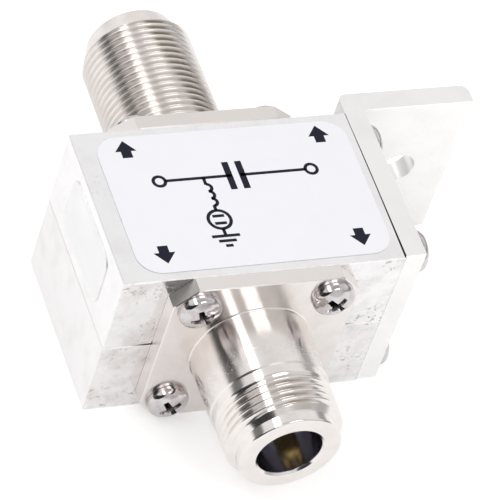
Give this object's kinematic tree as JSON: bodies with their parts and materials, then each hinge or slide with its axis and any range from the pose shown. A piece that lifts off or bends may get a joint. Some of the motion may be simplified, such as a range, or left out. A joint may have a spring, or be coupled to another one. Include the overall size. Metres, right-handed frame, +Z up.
{
  "type": "coax lightning arrestor",
  "caption": "In-line coaxial lightning arrestor: split aluminium block with a threaded jack on each end, a series capacitor and gas tube inside, and an angle bracket on its side.",
  "frame": {"origin": "middle of the housing's underside, which rests on the floor, below the jack axis", "axes": "+X toward the bracket, +Y along the jacks toward the antenna end, +Z up through the label on top"},
  "size_m": [0.0576, 0.0706, 0.0255],
  "materials": {
    "housing": "machined and tumbled, pale satin",
    "shell": "nickel plated brass, bright",
    "insulator": "white fluoroplastic",
    "contact": "gilt brass",
    "screw": "polished stainless",
    "coil": "bare copper strip",
    "tube_cap": "plated",
    "tube_ceramic": "white alumina",
    "bracket": "extruded, pale satin",
    "label": "white printed film"
  },
  "bodies": {
    "root": {"upper_housing": "housing", "lower_housing": "housing", "equipment_shell": "shell", "equipment_insulator": "insulator", "equipment_contact": "contact", "equipment_screws": "screw", "antenna_shell": "shell", "antenna_insulator": "insulator", "antenna_contact": "contact", "antenna_screws": "screw", "equipment_plate": "contact", "capacitor_dielectric": "insulator", "antenna_plate": "contact", "drain_coil": "coil", "tube_line_cap": "tube_cap", "tube_ceramic": "tube_ceramic", "tube_ground_cap": "tube_cap", "mounting_bracket": "bracket", "bracket_screws": "screw", "top_label": "label", "side_label": "label"}
  },
  "joints": []
}
